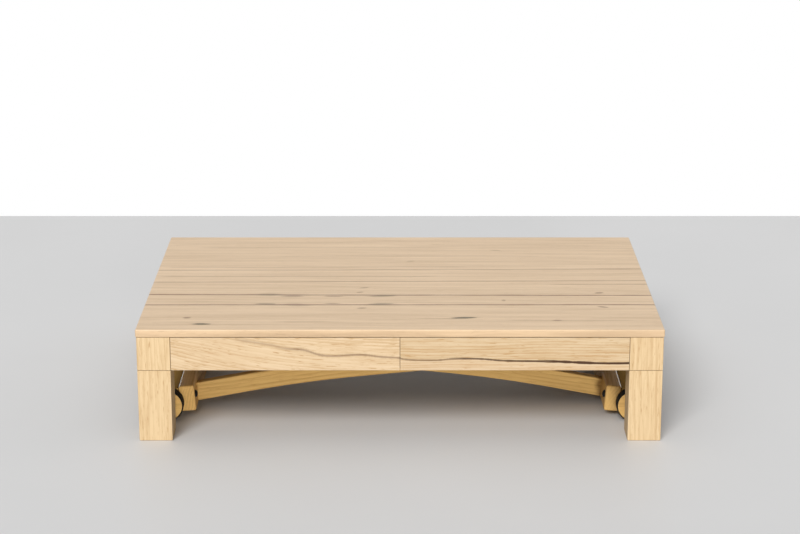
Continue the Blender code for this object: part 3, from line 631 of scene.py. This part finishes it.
# Bolts, pins, washers and nuts: turned steel with a satin black finish and a little rub. Domed
# bolts hold the beams to their rails, and a pin with its washer and nut holds each crossing.
black, tree, shader = new_finish("black steel")
shader.inputs["Metallic"].default_value = 0.5
shader.inputs["Specular IOR Level"].default_value = 0.2
BLACKED, RUBBED_THROUGH = (0.012, 0.012, 0.013, 1.0), (0.035, 0.034, 0.033, 1.0)
rub = mottling(tree, place_on(tree), scale=260.0, detail=4.0)["Fac"]
tree.links.new(blend(tree, ramp(tree, rub, 0.45, 0.7), BLACKED, RUBBED_THROUGH),
               shader.inputs["Base Color"])
tree.links.new(ramp(tree, rub, 0.3, 0.7, 0.32, 0.5), shader.inputs["Roughness"])
for end in ("front", "rear"):
    for piece in ("left_beam_bolt", "right_beam_bolt", "pivot_pin", "pivot_washer", "pivot_nut"):
        surface(f"{piece}_{end}", black)


# Axles and bars: bright drawn steel rod, cut square, with faint draw lines along it, in the steel
# of the screws. The axles end inside the wheels, and the bars turn in the blocks and slide in the
# racks.
for rod in ("left_axle", "right_axle", "hinge_bar", "slide_bar"):
    surface(rod, steel)


# Wheels and tyres: solid oak discs turned from a board, plain on the outer face and bored from
# behind for the axle, each with a black rubber tyre let into its rim.
rubber, tree, shader = new_finish("black rubber")
shader.inputs["Specular IOR Level"].default_value = 0.15
RUBBER_BLACK, RUBBER_GREY = (0.004, 0.004, 0.004, 1.0), (0.011, 0.011, 0.011, 1.0)
bloom = mottling(tree, place_on(tree), scale=120.0, detail=4.0)["Fac"]
tree.links.new(blend(tree, bloom, RUBBER_BLACK, RUBBER_GREY), shader.inputs["Base Color"])
tree.links.new(ramp(tree, bloom, 0.3, 0.7, 0.62, 0.8), shader.inputs["Roughness"])
WHEEL_WOOD = {"pale": (0.72, 0.45, 0.155), "dark": (0.43, 0.24, 0.07)}
# Each wheel is painted paler or darker, the front right one palest: painted light and painted
# shade.
WHEEL_PAINTED_LIGHT_AND_SHADE = {"front_left": 0.98, "front_right": 1.14, "rear_left": 1.0, "rear_right": 1.05}
for number, (corner, tone) in enumerate(WHEEL_PAINTED_LIGHT_AND_SHADE.items()):
    surface(f"wheel_{corner}",
            oak(f"oak of {corner} wheel", "X", (0.8 + number, 0.2, 0.26), tilt=0.03, rings=0.35,
                satin=0.5, shine=0.1, **painted_lighter_or_darker(WHEEL_WOOD, tone)))
    surface(f"tyre_{corner}", rubber)


# Studio: a plain pale floor that ends in a straight line before a white background, a broad soft
# lamp from the front left and above, and a low even fill from in front that leaves no glare.
FLOOR_REACH = 8.0
FLOOR_END = 1.647
floor_shape = bmesh.new()
corners = [(-FLOOR_REACH, -FLOOR_REACH, 0.0), (FLOOR_REACH, -FLOOR_REACH, 0.0),
           (FLOOR_REACH, FLOOR_END, 0.0), (-FLOOR_REACH, FLOOR_END, 0.0)]
floor_shape.faces.new([floor_shape.verts.new(corner) for corner in corners])
floor_mesh = bpy.data.meshes.new("floor")
floor_shape.to_mesh(floor_mesh)
floor_shape.free()
floor = bring_in("floor", floor_mesh)
pale_floor, tree, shader = new_finish("pale floor")
shader.inputs["Roughness"].default_value = 0.55
FLOOR_GREY, FLOOR_PALE = (0.575, 0.575, 0.576, 1.0), (0.62, 0.62, 0.621, 1.0)
clouding = mottling(tree, place_on(tree), scale=1.5, detail=3.0)["Fac"]
tree.links.new(blend(tree, clouding, FLOOR_GREY, FLOOR_PALE), shader.inputs["Base Color"])
floor_mesh.materials.append(pale_floor)

LIGHT_AT_HORIZON, LIGHT_OVERHEAD = 0.06, 0.75
world = bpy.data.worlds.new("studio")
bpy.context.scene.world = world
world.use_nodes = True
tree = world.node_tree
tree.nodes.clear()
rays = put(tree, "ShaderNodeLightPath").outputs
seen = maths(tree, "MAXIMUM", rays["Is Glossy Ray"], rays["Is Transmission Ray"])
seen = maths(tree, "MAXIMUM", rays["Is Camera Ray"], seen)
up = apart(tree, put(tree, "ShaderNodeTexCoord").outputs["Generated"])[2]
light = put(tree, "ShaderNodeMapRange", {
    0: up, 1: 0.0, 2: 1.0, 3: LIGHT_AT_HORIZON, 4: LIGHT_OVERHEAD}).outputs[0]
light = put(tree, "ShaderNodeMix", {0: seen, 2: light, 3: 1.0}).outputs[0]
white = put(tree, "ShaderNodeBackground", {"Color": (1.0, 1.0, 1.0, 1.0), "Strength": light})
put(tree, "ShaderNodeOutputWorld", {"Surface": white.outputs[0]})

# Each lamp: its strength, its spread in degrees, the way to it, and whether gloss shows it.
for name, strength, spread, towards, in_gloss in [
        ("key", 2.45, 26.0, (-0.34, -1.0, 0.84), True),
        ("fill", 2.0, 10.0, (0.11, -1.0, 0.05), False)]:
    lamp = bpy.data.lights.new(name, "SUN")
    lamp.energy = strength
    lamp.angle = math.radians(spread)
    hung = bring_in(name, lamp)
    hung.visible_glossy = in_gloss
    hung.rotation_euler = Vector(towards).to_track_quat("Z", "Y").to_euler()

LENS = 96.53
LOOKS_DOWN = 0.27885
camera = bpy.data.cameras.new("camera")
camera.sensor_width = 36.0
camera.lens = LENS
tripod = bring_in("camera", camera)
tripod.location = (0.0, -5.0243, 1.7396)
tripod.rotation_euler = (math.pi / 2 - LOOKS_DOWN, 0.0, 0.0)
bpy.context.scene.camera = tripod
bpy.context.scene.view_settings.view_transform = "Standard"
